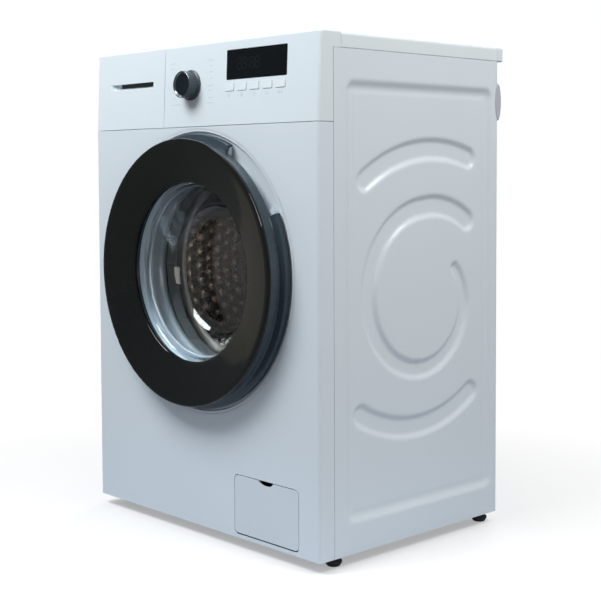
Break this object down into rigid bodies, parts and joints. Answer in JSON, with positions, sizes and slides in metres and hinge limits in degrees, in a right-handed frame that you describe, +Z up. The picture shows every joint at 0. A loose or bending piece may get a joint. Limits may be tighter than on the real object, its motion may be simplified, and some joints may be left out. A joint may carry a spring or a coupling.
{
  "type": "front load washing machine",
  "caption": "Front loading washing machine with a round glass door, detergent drawer, programme knob, display and push buttons, pressed side panels and a sprung tub.",
  "frame": {"origin": "on the floor, under the middle of the bounding box", "axes": "+X to the right as seen from the front, +Y from the front to the back, +Z up"},
  "size_m": [0.6, 0.499, 0.85],
  "materials": {
    "white_paint": "smooth white powder coat",
    "white_plastic": "moulded white plastic, light sheen",
    "tray_plastic": "white plastic",
    "worktop_laminate": "fine grained white surface",
    "zinc_sheet": "galvanised steel",
    "steel_wire": "oiled spring steel",
    "drum_steel": "perforated stainless steel",
    "cast_weight": "cast, unpainted",
    "cast_spider": "die cast",
    "motor_body": "die cast, satin",
    "gloss_black": "high gloss black",
    "display_black": "smoked high gloss window",
    "slate_plastic": "slate grey, satin",
    "grey_plastic": "matt grey plastic",
    "tub_plastic": "filled polypropylene",
    "black_plastic": "matt black plastic",
    "knob_plastic": "dark grey gloss",
    "button_plastic": "white plastic",
    "spacer_plastic": "pale grey plastic",
    "seal_rubber": "soft grey rubber",
    "black_rubber": "black rubber",
    "door_glass": "clear glass",
    "board_green": "glass epoxy board"
  },
  "bodies": {
    "cabinet": {"side_panel_left": "white_paint", "side_panel_right": "white_paint", "rear_panel": "white_paint", "service_cover": "white_paint", "base_tray": "grey_plastic", "front_panel": "white_paint", "control_panel": "white_plastic", "worktop": "worktop_laminate", "top_brace": "zinc_sheet", "display_window": "display_black", "control_board": "board_green", "dispenser_housing": "grey_plastic", "inlet_valve": "grey_plastic", "wall_spacer": "spacer_plastic", "cable_gland": "black_plastic", "drain_port": "grey_plastic", "pump_housing": "grey_plastic", "door_hinge": "zinc_sheet", "door_lock": "black_plastic", "damper_cylinder_left": "black_plastic", "damper_cylinder_right": "black_plastic", "gasket": "seal_rubber", "spring_left": "steel_wire", "spring_right": "steel_wire", "sump_hose": "black_rubber"},
    "door": {"door_ring": "gloss_black", "door_frame": "slate_plastic", "door_glass": "door_glass", "door_inner_ring": "grey_plastic"},
    "latch": {"latch_hook": "zinc_sheet"},
    "drawer": {"drawer_front": "white_plastic", "drawer_tray": "tray_plastic"},
    "selector": {"program_knob": "knob_plastic"},
    "flap": {"filter_flap": "white_plastic"},
    "filter": {"filter_cap": "grey_plastic"},
    "tub": {"tub_front": "tub_plastic", "tub_rear": "tub_plastic", "bearing_hub": "steel_wire", "counterweight": "cast_weight", "heater": "steel_wire", "motor": "motor_body", "belt": "black_rubber", "damper_rod_left": "steel_wire", "damper_rod_right": "steel_wire"},
    "drum": {"drum": "drum_steel", "lifter_1": "grey_plastic", "lifter_2": "grey_plastic", "lifter_3": "grey_plastic", "spider": "cast_spider", "drum_pulley": "cast_spider"},
    "rotor": {"motor_pulley": "steel_wire"},
    "key_1": {"button_1": "button_plastic"},
    "key_2": {"button_2": "button_plastic"},
    "key_3": {"button_3": "button_plastic"},
    "key_4": {"button_4": "button_plastic"},
    "key_5": {"button_5": "button_plastic"},
    "levelling_foot_1": {"foot_1": "black_rubber"},
    "levelling_foot_2": {"foot_2": "black_rubber"},
    "levelling_foot_3": {"foot_3": "black_rubber"},
    "levelling_foot_4": {"foot_4": "black_rubber"}
  },
  "joints": [
    {"name": "door_swing", "type": "hinge", "parent": "cabinet", "child": "door", "pos_m": [-0.224, -0.2295, 0.46], "axis": [0, 0, -1], "range_deg": [0, 140]},
    {"name": "latch_pivot", "type": "hinge", "parent": "door", "child": "latch", "pos_m": [0.203, -0.208, 0.46], "axis": [0, 0, -1], "range_deg": [0, 12], "stiffness_Nm_per_rad": 0.3, "springref_deg": -5.73},
    {"name": "drawer_slide", "type": "slide", "parent": "cabinet", "child": "drawer", "axis": [0, -1, 0], "range_m": [0, 0.18]},
    {"name": "selector_turn", "type": "hinge", "parent": "cabinet", "child": "selector", "pos_m": [-0.0167, -0.20625, 0.77893], "axis": [0, -0.999, 0.0457], "continuous": true},
    {"name": "flap_hinge", "type": "hinge", "parent": "cabinet", "child": "flap", "pos_m": [0.173, -0.2061, 0.035], "axis": [1, 0, 0], "range_deg": [0, 90]},
    {"name": "filter_turn", "type": "hinge", "parent": "cabinet", "child": "filter", "pos_m": [0.173, -0.1935, 0.072], "axis": [0, -1, 0], "range_deg": [0, 360]},
    {"name": "tub_suspension", "type": "slide", "parent": "cabinet", "child": "tub", "axis": [0, 0, 1], "range_m": [-0.012, 0.006], "stiffness_N_per_m": 21800, "springref_m": 0.01571, "deforming": ["spring_left", "spring_right", "sump_hose", "gasket"]},
    {"name": "drum_spin", "type": "hinge", "parent": "tub", "child": "drum", "pos_m": [0, 0.1655, 0.46], "axis": [0, -1, 0], "continuous": true},
    {"name": "motor_spin", "type": "hinge", "parent": "tub", "child": "rotor", "pos_m": [0, 0.1905, 0.115], "axis": [0, -1, 0], "continuous": true},
    {"name": "key_1_press", "type": "slide", "parent": "cabinet", "child": "key_1", "axis": [0, 0.999, -0.0457], "range_m": [0, 0.0012], "stiffness_N_per_m": 600, "springref_m": -0.0006},
    {"name": "key_2_press", "type": "slide", "parent": "cabinet", "child": "key_2", "axis": [0, 0.999, -0.0457], "range_m": [0, 0.0012], "stiffness_N_per_m": 600, "springref_m": -0.0006},
    {"name": "key_3_press", "type": "slide", "parent": "cabinet", "child": "key_3", "axis": [0, 0.999, -0.0457], "range_m": [0, 0.0012], "stiffness_N_per_m": 600, "springref_m": -0.0006},
    {"name": "key_4_press", "type": "slide", "parent": "cabinet", "child": "key_4", "axis": [0, 0.999, -0.0457], "range_m": [0, 0.0012], "stiffness_N_per_m": 600, "springref_m": -0.0006},
    {"name": "key_5_press", "type": "slide", "parent": "cabinet", "child": "key_5", "axis": [0, 0.999, -0.0457], "range_m": [0, 0.0012], "stiffness_N_per_m": 600, "springref_m": -0.0006},
    {"name": "foot_1_screw", "type": "slide", "parent": "cabinet", "child": "levelling_foot_1", "axis": [0, 0, -1], "range_m": [0, 0.012]},
    {"name": "foot_2_screw", "type": "slide", "parent": "cabinet", "child": "levelling_foot_2", "axis": [0, 0, -1], "range_m": [0, 0.012]},
    {"name": "foot_3_screw", "type": "slide", "parent": "cabinet", "child": "levelling_foot_3", "axis": [0, 0, -1], "range_m": [0, 0.012]},
    {"name": "foot_4_screw", "type": "slide", "parent": "cabinet", "child": "levelling_foot_4", "axis": [0, 0, -1], "range_m": [0, 0.012]}
  ],
  "couplings": [
    {"joint": "motor_spin", "follows": "drum_spin", "ratio": 13.8}
  ]
}
